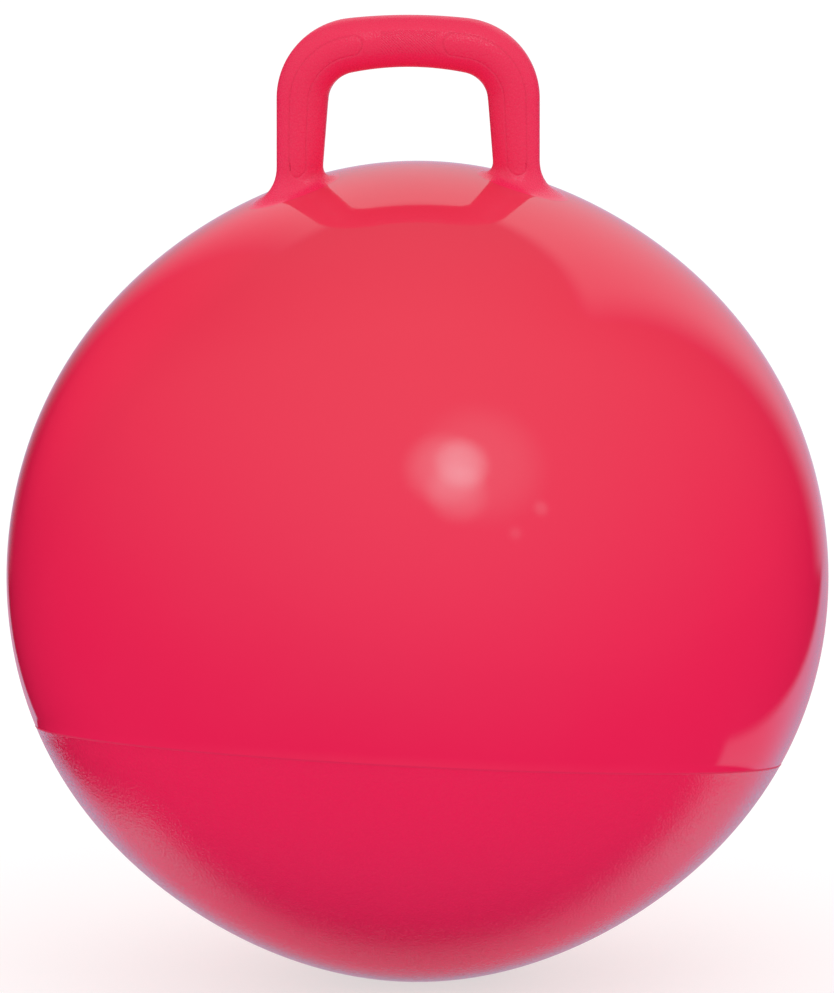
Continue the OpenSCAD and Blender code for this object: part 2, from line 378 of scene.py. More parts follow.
# %% Grained vinyl
# The red darkens towards the bottom of the ball: painted shade where the ball turns under.
GRAIN_PAINTED_SHADE_RED = (0.765, 0.0200, 0.1020, 1)
PAINTED_SHADE_FULL_Z, PAINTED_SHADE_END_Z = 0.06, 0.19
GRAIN_CELL, GRAIN_PITS, GRAIN_DEPTH = 0.0019, 2.6, 0.00008
GRAIN_ROUGHNESS = (0.08, 0.15)
GRAIN_SHINE = 0.30
COAT_LOW, COAT_HIGH = 1.20, 1.65
COAT_WEIGHT = (0.0, 0.55)
COAT_IOR, COAT_ROUGHNESS = 1.45, 0.18

grained, tree, shader = new_material("grained_vinyl", IOR=VINYL_IOR, Specular_IOR_Level=GRAIN_SHINE,
                                     Coat_IOR=COAT_IOR, Coat_Roughness=COAT_ROUGHNESS)
red = use_group(tree, tone_and_painted_light, {"Low Colour": GRAIN_PAINTED_SHADE_RED, "High Colour": LOW_RED, "Cloud": BALL_CLOUD,
                                     "Low Height": PAINTED_SHADE_FULL_Z, "High Height": PAINTED_SHADE_END_Z})
tree.links.new(red.outputs["Colour"], shader.inputs["Base Color"])
grain = use_group(tree, mould_grain, {"Cell": GRAIN_CELL, "Pits": GRAIN_PITS})
tree.links.new(between(tree, grain.outputs["Hollow"], 0, 1, *GRAIN_ROUGHNESS), shader.inputs["Roughness"])
coat = between(tree, grain.outputs["Height"], COAT_LOW, COAT_HIGH, *COAT_WEIGHT)
tree.links.new(coat, shader.inputs["Coat Weight"])
finish_bump(tree, shader, grain.outputs["Height"], GRAIN_DEPTH)

# %% [markdown]
# ## Vinyl of the parting rib
#
# The halves of the mould meet at the rib, and the hot vinyl that was pressed between them
# has neither polish nor grain, so it is a matt finish of its own. Its red is darker than the
# skin's: painted shade along the rib.

# %% Vinyl of the parting rib
# The rib's darker red is painted shade along the rib.
RIB_PAINTED_SHADE_RED = (0.730, 0.0132, 0.0820, 1)
RIB_ROUGHNESS, RIB_SHINE = 0.4, 0.12

rib_vinyl, tree, shader = new_material("rib_vinyl", IOR=VINYL_IOR, Roughness=RIB_ROUGHNESS,
                                       Specular_IOR_Level=RIB_SHINE)
red = use_group(tree, tone_and_painted_light, {"Low Colour": RIB_PAINTED_SHADE_RED, "High Colour": RIB_PAINTED_SHADE_RED, "Cloud": BALL_CLOUD})
tree.links.new(red.outputs["Colour"], shader.inputs["Base Color"])

# %% [markdown]
# ## Satin vinyl for the loop
#
# The loop is satin, so that hands don't slip. Towards its feet the satin runs out into the
# polish of the ball. The mesh carries an attribute called foot, which is 0 on the loop and
# 1 where it meets the ball, and the roughness follows it. The panels on the legs have
# coarser grain, and the middle of the bar is hatched. The three finishes differ only in
# their grain and the hatching, so one function makes them all.

# %% Satin vinyl, grip panels and hatch
# The red is lighter low on the legs than up on the bar: painted light that makes up for the less light
# reaching the legs.
LOOP_LOW_PAINTED_LIGHT_RED = (0.905, 0.0235, 0.1030, 1)
LOOP_HIGH_RED = (0.845, 0.0145, 0.0835, 1)
LOOP_LOW_Z, LOOP_HIGH_Z = 0.55, 0.635
LOOP_CLOUD = 0.05
LOOP_SHINE = 0.42
FOOT_ROUGHNESS = 0.07
RIDGE_SCALE, RIDGE_WANDER = 290.0, 1.5


def loop_vinyl(name, cell, pits, depth, roughness, hatched=False):
    """A satin vinyl whose grain has its own size and depth, with ridges where it is hatched."""
    material, tree, shader = new_material(name, IOR=VINYL_IOR, Specular_IOR_Level=LOOP_SHINE)
    red = use_group(tree, tone_and_painted_light,
                    {"Low Colour": LOOP_LOW_PAINTED_LIGHT_RED, "High Colour": LOOP_HIGH_RED, "Cloud": LOOP_CLOUD,
                     "Low Height": LOOP_LOW_Z, "High Height": LOOP_HIGH_Z})
    tree.links.new(red.outputs["Colour"], shader.inputs["Base Color"])
    grain = use_group(tree, mould_grain, {"Cell": cell, "Pits": pits})
    foot = add_node(tree, "ShaderNodeAttribute", attribute_name="foot").outputs["Fac"]
    unpolished = maths(tree, "SUBTRACT", 1.0, between(tree, foot, 0.0, 1.0))
    satin = between(tree, grain.outputs["Hollow"], 0, 1, *roughness)
    added = maths(tree, "MULTIPLY", maths(tree, "SUBTRACT", satin, FOOT_ROUGHNESS), unpolished)
    tree.links.new(maths(tree, "ADD", added, FOOT_ROUGHNESS), shader.inputs["Roughness"])
    height = maths(tree, "MULTIPLY", grain.outputs["Height"], unpolished)
    if hatched:
        ridges = add_node(tree, "ShaderNodeTexWave",
                          {"Vector": object_place(tree), "Scale": RIDGE_SCALE, "Distortion": RIDGE_WANDER},
                          wave_type="BANDS", bands_direction="DIAGONAL")
        height = maths(tree, "ADD", height, ridges.outputs["Fac"])
    finish_bump(tree, shader, height, depth)
    return material


satin_vinyl = loop_vinyl("satin_vinyl", cell=0.0012, pits=0.7, depth=0.00017, roughness=(0.27, 0.36))
panel_vinyl = loop_vinyl("panel_vinyl", cell=0.0014, pits=0.8, depth=0.00021, roughness=(0.26, 0.36))
hatch_vinyl = loop_vinyl("hatch_vinyl", cell=0.0010, pits=0.5, depth=0.00018, roughness=(0.26, 0.36),
                         hatched=True)

# %% [markdown]
# ## Valve seat and plug finishes
#
# The seat is softer vinyl of a deeper red, with a dull bloom round the plug. The plug is
# white polyethylene, which is waxy: light goes a little way in and comes out softened, and
# a little subsurface weight on the shader does that.

# %% Seat finish
SEAT_LOW_RED, SEAT_HIGH_RED = (0.70, 0.013, 0.07, 1), (0.70, 0.016, 0.07, 1)
SEAT_CLOUD = 0.10
SEAT_CELL, SEAT_PITS, SEAT_GRAIN_DEPTH = 0.0006, 0.4, 0.00001
SEAT_ROUGHNESS = (0.22, 0.38)

seat_vinyl, tree, shader = new_material("seat_vinyl", IOR=VINYL_IOR)
red = use_group(tree, tone_and_painted_light, {"Low Colour": SEAT_LOW_RED, "High Colour": SEAT_HIGH_RED,
                                     "Cloud": SEAT_CLOUD})
tree.links.new(red.outputs["Colour"], shader.inputs["Base Color"])
grain = use_group(tree, mould_grain, {"Cell": SEAT_CELL, "Pits": SEAT_PITS})
tree.links.new(between(tree, grain.outputs["Hollow"], 0, 1, *SEAT_ROUGHNESS), shader.inputs["Roughness"])
finish_bump(tree, shader, grain.outputs["Height"], SEAT_GRAIN_DEPTH)

# %% Plug finish
PLUG_LOW_WHITE, PLUG_HIGH_WHITE = (0.84, 0.84, 0.81, 1), (0.88, 0.88, 0.86, 1)
PLUG_CLOUD = 0.06
PLUG_CELL, PLUG_PITS, PLUG_GRAIN_DEPTH = 0.0005, 0.3, 0.000006
PLUG_ROUGHNESS = (0.30, 0.42)
PLUG_IOR = 1.5
WAX_WEIGHT, WAX_DEPTH = 0.15, 0.002

plug_white, tree, shader = new_material("plug_polyethylene", IOR=PLUG_IOR,
                                        Subsurface_Weight=WAX_WEIGHT, Subsurface_Scale=WAX_DEPTH)
white = use_group(tree, tone_and_painted_light, {"Low Colour": PLUG_LOW_WHITE, "High Colour": PLUG_HIGH_WHITE,
                                       "Cloud": PLUG_CLOUD})
tree.links.new(white.outputs["Colour"], shader.inputs["Base Color"])
grain = use_group(tree, mould_grain, {"Cell": PLUG_CELL, "Pits": PLUG_PITS})
tree.links.new(between(tree, grain.outputs["Hollow"], 0, 1, *PLUG_ROUGHNESS), shader.inputs["Roughness"])
finish_bump(tree, shader, grain.outputs["Height"], PLUG_GRAIN_DEPTH)

# %% [markdown]
# ## The ball's skin
#
# A ready-made sphere has its rows level, and the parting rib of this ball leans. So half an
# outline with a few close rows for the rib is spun once, and the result is tipped as the rib
# is. Each vertex is then moved to the true outline, and on the rib a little further out.

# %% Spin the skin
SEAM_DROP = 0.118
SEAM_TILT, SEAM_LEAN = radians(3), radians(9)
RIB_W = 0.0014
RIB_H = 0.00026
RIB_ROW_SHARES = (0.5, 0.25, 0, -0.25, -0.5)
ROWS_ABOVE, ROWS_BELOW, COLUMNS = 72, 42, 224
UNIT_MERGE = 1e-5

seam_turn = Matrix.Rotation(SEAM_TILT, 3, "Y") @ Matrix.Rotation(-SEAM_LEAN, 3, "X")
seam_normal = seam_turn @ Vector((0, 0, 1))
seam_level = -SEAM_DROP * seam_normal.z


def spaced(first, last, count):
    """Evenly spaced values, both ends included."""
    return [first + (last - first) * i / count for i in range(count + 1)]


seam_r = MEAN_R * swell(asin(seam_level / MEAN_R))
rib_rows = [asin((seam_level + RIB_W * share) / seam_r) for share in RIB_ROW_SHARES]
row_angles = (spaced(pi / 2, rib_rows[0], ROWS_ABOVE)[:-1] + rib_rows
              + spaced(rib_rows[-1], -pi / 2, ROWS_BELOW)[1:])

bm = bmesh.new()
chain = [bm.verts.new((cos(a), 0, sin(a))) for a in row_angles]
for upper, lower in zip(chain, chain[1:]):
    bm.edges.new((upper, lower))
bmesh.ops.spin(bm, geom=bm.verts[:] + bm.edges[:], cent=(0, 0, 0), axis=(0, 0, 1),
               angle=2 * pi, steps=COLUMNS, use_merge=True)
bmesh.ops.remove_doubles(bm, verts=bm.verts, dist=UNIT_MERGE)
bmesh.ops.rotate(bm, cent=(0, 0, 0), matrix=seam_turn, verts=bm.verts)
print("unit ball spun:", len(bm.faces), "faces")

# %% Move it to the outline
def above_seam(point):
    """Distance of a point from the plane of the parting rib, positive above it."""
    return (point - MIDDLE).dot(seam_normal) - seam_level


def rib_height(point):
    """Height of the parting rib at a point of the skin."""
    off = above_seam(point)
    return RIB_H * cos(pi * off / RIB_W) ** 2 if abs(off) < RIB_W / 2 else 0.0


for vert in bm.verts:
    direction = vert.co.copy()
    vert.co = skin_point(direction, rib_height(skin_point(direction)))
bmesh.ops.recalc_face_normals(bm, faces=bm.faces)
print(f"skin {2 * max(v.co.x for v in bm.verts) * 1000:.1f} mm wide")

# %% [markdown]
# ## The patch and the hole for the valve
#
# The ball's own weight presses a small flat patch at its bottom, so the mesh is cut level
# there and filled. For the valve, the faces round its place are deleted, a true circle is
# made on the skin, and a bridge closes the ragged gap between them. A Boolean would also
# cut a round hole, but it leaves thin slivers that spoil the reflections.

# %% Stand it on its patch
cut = bmesh.ops.bisect_plane(bm, geom=bm.verts[:] + bm.edges[:] + bm.faces[:], plane_co=(0, 0, 0),
                             plane_no=(0, 0, 1), clear_inner=True)
patch_edges = [e for e in cut["geom_cut"] if isinstance(e, bmesh.types.BMEdge)]
bmesh.ops.edgeloop_fill(bm, edges=patch_edges)
print("patch:", len(patch_edges), "edges")

# %% Open the valve's hole
VALVE_RISE = radians(32)
SEAT_R = 0.015
OPENING_ANGLE = 0.085
HOLE_SIDES = 64
VALVE_AXIS = Vector((0, cos(VALVE_RISE), sin(VALVE_RISE)))
VALVE_PLACE = (Matrix.Translation(skin_point(VALVE_AXIS))
               @ Matrix.Rotation(VALVE_RISE - pi / 2, 4, "X"))

valve_faces = [f for f in bm.faces
               if (f.calc_center_median() - MIDDLE).normalized().dot(VALVE_AXIS) > cos(OPENING_ANGLE)]
bmesh.ops.delete(bm, geom=valve_faces, context="FACES")
ragged = [e for e in bm.edges if e.is_boundary]
hole = bmesh.ops.create_circle(bm, segments=HOLE_SIDES, radius=SEAT_R, matrix=VALVE_PLACE)["verts"]
hole_edges = list({e for v in hole for e in v.link_edges})
bmesh.ops.bridge_loops(bm, edges=ragged + hole_edges)
for vert in hole:
    vert.co = skin_point(vert.co - MIDDLE)
for edge in hole_edges:
    edge.smooth = False
bmesh.ops.recalc_face_normals(bm, faces=bm.faces)
print("hole: radius", SEAT_R, "m,", len(valve_faces), "faces replaced")

# %% [markdown]
# ## Finishes and wall of the skin
#
# The faces on the rib, above it and below it get one finish each, so the grain stops at the
# rib as it does in the mould. A Solidify modifier then gives the skin its wall, inwards.

# %% Finish the skin
SKIN_WALL = 0.0012
POLISHED_SLOT, GRAINED_SLOT, RIB_SLOT = 0, 1, 2

for face in bm.faces:
    off = above_seam(face.calc_center_median())
    face.material_index = GRAINED_SLOT if off < 0 else POLISHED_SLOT
    if abs(off) < RIB_W / 2:
        face.material_index = RIB_SLOT
ball = make_piece("ball_vinyl", bm, [polished, grained, rib_vinyl], "ball", "ball_skin")
wall = ball.modifiers.new("wall", "SOLIDIFY")
wall.thickness = SKIN_WALL
wall.offset = -1

# %% [markdown]
# ## The path of the loop
#
# The loop is a tube, but its thickness changes: the bar is crowned, the corners bend round
# different middles outside and inside, and the legs taper. A curve with a round bevel can't
# do that. So two rails are drawn, one along its outer side and one along its inner side, and
# every ring hangs between them. Half the loop is drawn, and side says which half it is.

# %% Rails of the loop
LOOP_W, LOOP_TOP, LOOP_SHIFT = 0.1756, 0.3787, -0.0062
BAR_T, LEG_T, LEG_TAPER, DEPTH_SHARE = 0.0349, 0.0347, 0.0046, 0.94
CORNER_R, CROWN_TOP_R, CROWN_LOW_R = 0.0544, 0.363, 0.188


def rail(half_w, top, crown_r, bend_r, q):
    """Point of a rail: q is 0 to 1 along the crown and 1 to 2 round the corner."""
    middle_x = half_w - bend_r
    middle_z = top - crown_r + sqrt((crown_r - bend_r) ** 2 - middle_x ** 2)
    turn = asin(middle_x / (crown_r - bend_r))
    if q <= 1:
        return Vector((crown_r * sin(turn * q), top - crown_r + crown_r * cos(turn * q)))
    turn += (pi / 2 - turn) * (q - 1)
    return Vector((middle_x + bend_r * sin(turn), middle_z + bend_r * cos(turn)))


def tube_point(side, q, a, inset=0.0):
    """Point at the angle a round the bar or a corner."""
    outer = rail(LOOP_W / 2, LOOP_TOP, CROWN_TOP_R, CORNER_R, q)
    inner = rail(LOOP_W / 2 - LEG_T, LOOP_TOP - BAR_T, CROWN_LOW_R, CORNER_R - BAR_T, q)
    half = (outer - inner) / 2
    point = (outer + inner) / 2 + half * (1 - inset / half.length) * cos(a)
    depth = half.length * DEPTH_SHARE - inset
    return Vector((LOOP_SHIFT + side * point.x, depth * sin(a), BALL_Z + point.y))


print(f"top of the loop {tube_point(1, 0, 0).z * 1000:.1f} mm up")

# %% [markdown]
# ## Legs and feet
#
# A leg is a straight tapering tube. At its foot it flares on to the skin, further outside
# the loop than between the legs. A curve with three control points carries every point of
# the ring there: it leaves the leg along the leg and lands on the skin along the skin, so
# the foot blends into the ball with no edge.

# %% Legs of the loop
bend_z = (LOOP_TOP - CROWN_TOP_R
          + sqrt((CROWN_TOP_R - CORNER_R) ** 2 - (LOOP_W / 2 - CORNER_R) ** 2))
leg_foot_x = LOOP_W / 2 - (LEG_T - LEG_TAPER) / 2
foot_z = skin_z(leg_foot_x) - BALL_Z
lean = LEG_TAPER / (bend_z - foot_z)


def leg_point(side, z, a, reach=0.0):
    """Point of a leg's wall at a height above the ball's middle, or off it by reach."""
    half = LEG_T / 2 - lean * (bend_z - z) / 2
    x = LOOP_W / 2 - half + (half + reach) * cos(a)
    return Vector((LOOP_SHIFT + side * x, (half * DEPTH_SHARE + reach) * sin(a), BALL_Z + z))


print(f"legs {(bend_z - foot_z) * 1000:.1f} mm long")

# %% Feet of the loop
FOOT_OUT, FOOT_SIDE, FOOT_IN = 0.019, 0.013, 0.012
SLOPE_STEP = 0.0005


def foot_reach(a):
    """How far a foot spreads: furthest outside the loop and least between the legs."""
    return (FOOT_SIDE + (FOOT_OUT - FOOT_IN) / 2 * cos(a)
            + ((FOOT_OUT + FOOT_IN) / 2 - FOOT_SIDE) * cos(a) ** 2)


def foot_curve(side, a):
    """The three control points that carry a point of the ring from the leg to the skin."""
    reach = foot_reach(a)
    root = leg_point(side, foot_z, a)
    start = leg_point(side, skin_z(root.xy.length) - BALL_Z + reach, a)
    end = leg_point(side, foot_z, a, reach)
    end.z = skin_z(end.xy.length)
    slope = (skin_z(end.xy.length - SLOPE_STEP) - end.z) / SLOPE_STEP
    root.z = end.z + slope * (end.xy.length - root.xy.length)
    return start, root, end


print(f"feet reach {foot_reach(0) * 1000:.0f} mm outside and {foot_reach(pi) * 1000:.0f} mm inside")

# %% From the bar to the air passage
PASSAGE_R = 0.010


def loop_point(side, q, a, inset=0.0):
    """Point of the loop: q is 0 to 2 on the tube, 2 to 3 down the leg, 3 to 4 over the foot."""
    if q <= 2:
        return tube_point(side, q, a, inset)
    start, root, end = foot_curve(side, a)
    if q <= 3:
        top = tube_point(side, 2, a).z - BALL_Z
        return leg_point(side, top + (start.z - BALL_Z - top) * (q - 2), a, -inset)
    t = q - 3
    return (1 - t) ** 2 * start + 2 * t * (1 - t) * root + t ** 2 * end


def under_point(side, share, a):
    """Point under a foot, on the skin, from its edge to the air passage."""
    edge = loop_point(side, 4, a)
    hole = Vector((LOOP_SHIFT + side * (leg_foot_x + PASSAGE_R * cos(a)), PASSAGE_R * sin(a), 0))
    point = edge.lerp(hole, share)
    point.z = skin_z(point.xy.length)
    return point


print(f"the feet end {loop_point(1, 4, 0).z * 1000:.0f} to {loop_point(1, 4, pi).z * 1000:.0f} mm up")

# %% [markdown]
# ## Lengths along the loop
#
# The grip panels are placed by their distance from the middle of the bar, as with a tape
# laid along the front of the loop. The path is measured once in small steps, and q_at then
# turns a length back into a place on it.

# %% Measure the loop
FRONT = -pi / 2
PATH_STEPS = 400

q_steps = spaced(0, 4, PATH_STEPS)
front_line = [loop_point(1, q, FRONT) for q in q_steps]
run = [0.0]
for here, there in zip(front_line, front_line[1:]):
    run.append(run[-1] + (there - here).length)
HALF_LOOP = run[-1]


def q_at(length):
    """Place q on the path at a length from the middle of the bar, along the front."""
    length = max(0.0, min(HALF_LOOP, length))
    i = min(len(run) - 2, max(j for j in range(len(run)) if run[j] <= length))
    return q_steps[i] + (q_steps[i + 1] - q_steps[i]) * (length - run[i]) / (run[i + 1] - run[i])


print(f"half the loop is {HALF_LOOP * 1000:.0f} mm along its front")

# %% [markdown]
# ## Rings that suit the grip panels
#
# The panels have round ends and lie a little turned on the bar and the legs. They could be
# cut into the mesh later, but then their edges would cross its faces. Instead the rings and
# columns of the mesh run along them: a ring lies at each end, the rings bow near it, and
# their front is turned to the middle of the panel.

# %% Rings that suit the grip panels
RING_SIDES = 96
COLUMN_ANGLE = 2 * pi / RING_SIDES
PANEL_TOP = {-1: 0.0300, 1: 0.0226}
PANEL_FOOT = {-1: HALF_LOOP - 0.0176, 1: HALF_LOOP - 0.0152}
PANEL_COLUMNS = {-1: 6, 1: 7}
END_BOW = 0.0046
BOW_SPREAD = 0.012
TWIST_BAR = radians(8)
TWIST_LEG = {-1: radians(9.5), 1: radians(3)}
TWIST_CHANGE_AT, TWIST_CHANGE_OVER = 0.05, 0.05
TWIST_END_AT, TWIST_END_OVER = 0.1, 0.09


def smooth(x):
    """0 below 0, 1 above 1, and an even rise between."""
    x = max(0.0, min(1.0, x))
    return x * x * (3 - 2 * x)


def bowed(side, length, a):
    """Length along the loop, shifted so that the panels' ends come out round."""
    across = abs(a - FRONT) / (PANEL_COLUMNS[side] * COLUMN_ANGLE)
    bow = END_BOW * (across ** 2 if across < 1 else 1 - smooth(across - 1))
    for end, way in ((PANEL_TOP[side], 1), (PANEL_FOOT[side], -1)):
        length += way * bow * (1 - smooth(abs(length - end) / BOW_SPREAD))
    return length


def outer_point(side, length, a):
    """Point of the outer skin, with the ring's front turned to the panel's middle."""
    on_leg = smooth((length - TWIST_CHANGE_AT) / TWIST_CHANGE_OVER)
    twist = TWIST_BAR + (TWIST_LEG[side] - TWIST_BAR) * on_leg
    ending = smooth((length - TWIST_END_AT) / TWIST_END_OVER)
    return loop_point(side, q_at(bowed(side, length, a)), a + twist * (1 - ending))


print("panels start", PANEL_TOP, "and end", {side: round(end, 4) for side, end in PANEL_FOOT.items()})

# %% [markdown]
# ## The loop's skin
#
# One ring is made and extruded again and again: over the outside from the left foot to the
# right one, under that foot, back inside the wall, and under the left foot, where a bridge
# closes it. So the loop is one closed skin with a wall and two open air passages. Three
# numbers stay on every vertex: its angle round the ring, its length along the loop, and
# how near it is to the edge of a foot.

# %% Plan the rings
RING_GAP = 0.0021
HATCH_END = 0.0185
LOOP_WALL = 0.0024
TUBE_RINGS, LEG_RINGS = 22, 5
INNER_END = 2.9
UNDER_SHARES = (0.5, 1)


def stops(*marks):
    """Lengths from the first mark to the last that include every mark, RING_GAP apart."""
    found = [marks[0]]
    for first, last in zip(marks, marks[1:]):
        found += spaced(first, last, max(1, round((last - first) / RING_GAP)))[1:]
    return found


right = stops(0, HATCH_END, PANEL_TOP[1], PANEL_FOOT[1], HALF_LOOP)
left = stops(0, HATCH_END, PANEL_TOP[-1], PANEL_FOOT[-1], HALF_LOOP)
inner_q = spaced(0, 2, TUBE_RINGS) + spaced(2, INNER_END, LEG_RINGS)[1:]
rings = [(-length, partial(outer_point, -1, length)) for length in reversed(left[1:])]
rings += [(length, partial(outer_point, 1, length)) for length in right]
rings += [(None, partial(under_point, 1, share)) for share in UNDER_SHARES]
rings += [(None, partial(loop_point, 1, q, inset=LOOP_WALL)) for q in reversed(inner_q)]
rings += [(None, partial(loop_point, -1, q, inset=LOOP_WALL)) for q in inner_q[1:]]
rings += [(None, partial(under_point, -1, share)) for share in reversed(UNDER_SHARES)]
print(len(rings), "rings planned")

# %% Rings that know where they are
INSIDE = 9.0
FOOT_POLISH = 0.005

bm = bmesh.new()
turn = bm.verts.layers.float.new("turn")
along = bm.verts.layers.float.new("along")
foot = bm.verts.layers.float.new("foot")


def set_ring(verts, length, point_at):
    """Moves a ring to its place on the loop and notes where it is."""
    for vert in verts:
        vert.co = point_at(a=vert[turn])
        vert[along] = INSIDE if length is None else length
        vert[foot] = 1.0 if length is None else max(0.0, 1 - (HALF_LOOP - abs(length)) / FOOT_POLISH)


def edges_among(verts):
    """The edges whose both ends are in a list of vertices."""
    inside = set(verts)
    return list({e for v in verts for e in v.link_edges if e.other_vert(v) in inside})


# %% Sweep the loop
ANGLE_SLACK = 0.001

first_ring = bmesh.ops.create_circle(bm, segments=RING_SIDES, radius=1)["verts"]
for vert in first_ring:
    angle = atan2(vert.co.y, vert.co.x)
    vert[turn] = angle if angle < pi / 2 - ANGLE_SLACK else angle - 2 * pi
ring = first_ring
set_ring(ring, *rings[0])
ring_edges = edges_among(ring)
foot_edges = list(ring_edges)
for length, point_at in rings[1:]:
    made = bmesh.ops.extrude_edge_only(bm, edges=ring_edges)["geom"]
    ring = [g for g in made if isinstance(g, bmesh.types.BMVert)]
    set_ring(ring, length, point_at)
    ring_edges = edges_among(ring)
    if length == right[-1]:
        foot_edges += ring_edges
bmesh.ops.bridge_loops(bm, edges=ring_edges + edges_among(first_ring))
for edge in foot_edges:
    edge.smooth = False
bmesh.ops.recalc_face_normals(bm, faces=bm.faces)
print("loop swept:", len(bm.faces), "faces")

# %% [markdown]
# ## Grip panels
#
# On the real loop a fine groove runs round each grip panel, and the middle of the bar is
# hatched with no groove. Two insets make a groove: one step in and down, then one step in
# and up. A bump could fake it, but its edge catches the light only if it is really there.

# %% Cut the grip panels
GROOVE_W = 0.0005
GROOVE_DEPTH = 0.00038
LENGTH_SLACK = 1e-5
PANEL_SLOT, HATCH_SLOT = 1, 2


def panel_faces(low, high, columns):
    """Faces of the loop's front between two lengths."""
    reach = columns * COLUMN_ANGLE + ANGLE_SLACK
    low, high = low - LENGTH_SLACK, high + LENGTH_SLACK
    return [f for f in bm.faces
            if all(low < v[along] < high and abs(v[turn] - FRONT) < reach for v in f.verts)]


for low, high, columns, finish in ((-PANEL_FOOT[-1], -PANEL_TOP[-1], PANEL_COLUMNS[-1], PANEL_SLOT),
                                   (PANEL_TOP[1], PANEL_FOOT[1], PANEL_COLUMNS[1], PANEL_SLOT),
                                   (-HATCH_END, HATCH_END, PANEL_COLUMNS[1], HATCH_SLOT)):
    faces = panel_faces(low, high, columns)
    for face in faces:
        face.material_index = finish
    if finish == PANEL_SLOT:
        for depth in (-GROOVE_DEPTH, GROOVE_DEPTH):
            bmesh.ops.inset_region(bm, faces=faces, thickness=GROOVE_W, depth=depth,
                                   use_even_offset=True, use_boundary=True)
    print(f"panel from {low * 1000:.0f} to {high * 1000:.0f} mm: {len(faces)} faces")
make_piece("loop_vinyl", bm, [satin_vinyl, panel_vinyl, hatch_vinyl], "ball", "loop_handle")

# %% [markdown]
# ## Turned pieces
#
# The valve's seat and its plug are round all the way, so each is half an outline, spun.
# Their edges are softened with a bevel after the spin, because moulded edges are never sharp.

# %% Helper that turns an outline
SMALL_MERGE = 1e-6
SHARP_ANGLE = radians(35)


def turned(outline, steps, soften):
    """Spins a closed outline of (radius, height) about Z and softens its sharp edges."""
    bm = bmesh.new()
    points = [bm.verts.new((r, 0, z)) for r, z in outline]
    for here, there in zip(points, points[1:] + points[:1]):
        if max(here.co.x, there.co.x) > 0:
            bm.edges.new((here, there))
    bmesh.ops.spin(bm, geom=bm.verts[:] + bm.edges[:], cent=(0, 0, 0), axis=(0, 0, 1),
                   angle=2 * pi, steps=steps, use_merge=True)
    bmesh.ops.remove_doubles(bm, verts=bm.verts, dist=SMALL_MERGE)
    bmesh.ops.recalc_face_normals(bm, faces=bm.faces)
    sharp = [e for e in bm.edges if len(e.link_faces) == 2 and e.calc_face_angle() > SHARP_ANGLE]
    bmesh.ops.bevel(bm, geom=sharp, offset=soften, offset_type="OFFSET", affect="EDGES",
                    segments=2, profile=0.5, material=-1, clamp_overlap=True)
    return bm


# %% [markdown]
# ## The valve seat
#
# The seat is a thick soft disc in the hole of the skin. Its face follows the curve of the
# ball, a sunk ledge takes the head of the plug, and a sleeve inside the ball grips its shaft.

# %% Valve seat
SEAT_T, SLEEVE_R, SLEEVE_LEN = 0.007, 0.0075, 0.011
LEDGE_R, LEDGE_DEPTH, BORE_R = 0.0095, 0.0024, 0.004
FACE_R = 0.0120
SEAT_STEPS, SEAT_SOFTNESS = 96, 0.0004


def skin_dip(r):
    """How far the skin has curved away at a distance from the valve's axis."""
    return -r * r / (2 * MEAN_R)


seat_outline = [
    (BORE_R, -LEDGE_DEPTH), (LEDGE_R, -LEDGE_DEPTH), (LEDGE_R, skin_dip(LEDGE_R)),
    (FACE_R, skin_dip(FACE_R)), (SEAT_R, skin_dip(SEAT_R)), (SEAT_R, -SEAT_T),
    (SLEEVE_R, -SEAT_T), (SLEEVE_R, -SEAT_T - SLEEVE_LEN), (BORE_R, -SEAT_T - SLEEVE_LEN),
]
bm = turned(seat_outline, SEAT_STEPS, SEAT_SOFTNESS)
bmesh.ops.transform(bm, matrix=VALVE_PLACE, verts=bm.verts)
make_piece("valve_seat_ring", bm, [seat_vinyl], "ball", "valve_seat")

# %% [markdown]
# ## The plug
#
# The plug has a low domed head, a shaft with four sealing rings, a tapered tip and a hollow
# core, as the mould leaves it. It rides on a body of its own, because it pulls out.

# %% Valve plug
HEAD_R, HEAD_T, HEAD_DOME, SHAFT_LEN = 0.0083, 0.0016, 0.0005, 0.023
PLUG_R, GROOVE, RINGS, TIP_LEN, CORE_R = 0.00395, 0.0005, 4, 0.005, 0.002
DOME_STEPS = 6
RING_END_SHARE, GROOVE_SHARES = 0.45, (0.6, 0.9)
PLUG_STEPS, PLUG_SOFTNESS = 64, 0.0002

under = -LEDGE_DEPTH
pitch = (SHAFT_LEN - TIP_LEN) / RINGS
plug_outline = [(HEAD_R * share, under + HEAD_T + HEAD_DOME * (1 - share ** 2))
                for share in spaced(0, 1, DOME_STEPS)]
plug_outline += [(HEAD_R, under), (PLUG_R, under)]
for i in range(RINGS):
    top = under - pitch * i
    plug_outline.append((PLUG_R, top - RING_END_SHARE * pitch))
    plug_outline += [(PLUG_R - GROOVE, top - share * pitch) for share in GROOVE_SHARES]
    plug_outline.append((PLUG_R, top - pitch))
plug_outline += [(CORE_R + GROOVE, under - SHAFT_LEN), (CORE_R, under - SHAFT_LEN),
                 (CORE_R, under - TIP_LEN), (0, under - TIP_LEN + CORE_R)]
bm = turned(plug_outline, PLUG_STEPS, PLUG_SOFTNESS)
bmesh.ops.transform(bm, matrix=VALVE_PLACE, verts=bm.verts)
make_piece("push_in_plug", bm, [plug_white], "plug", "valve_plug")

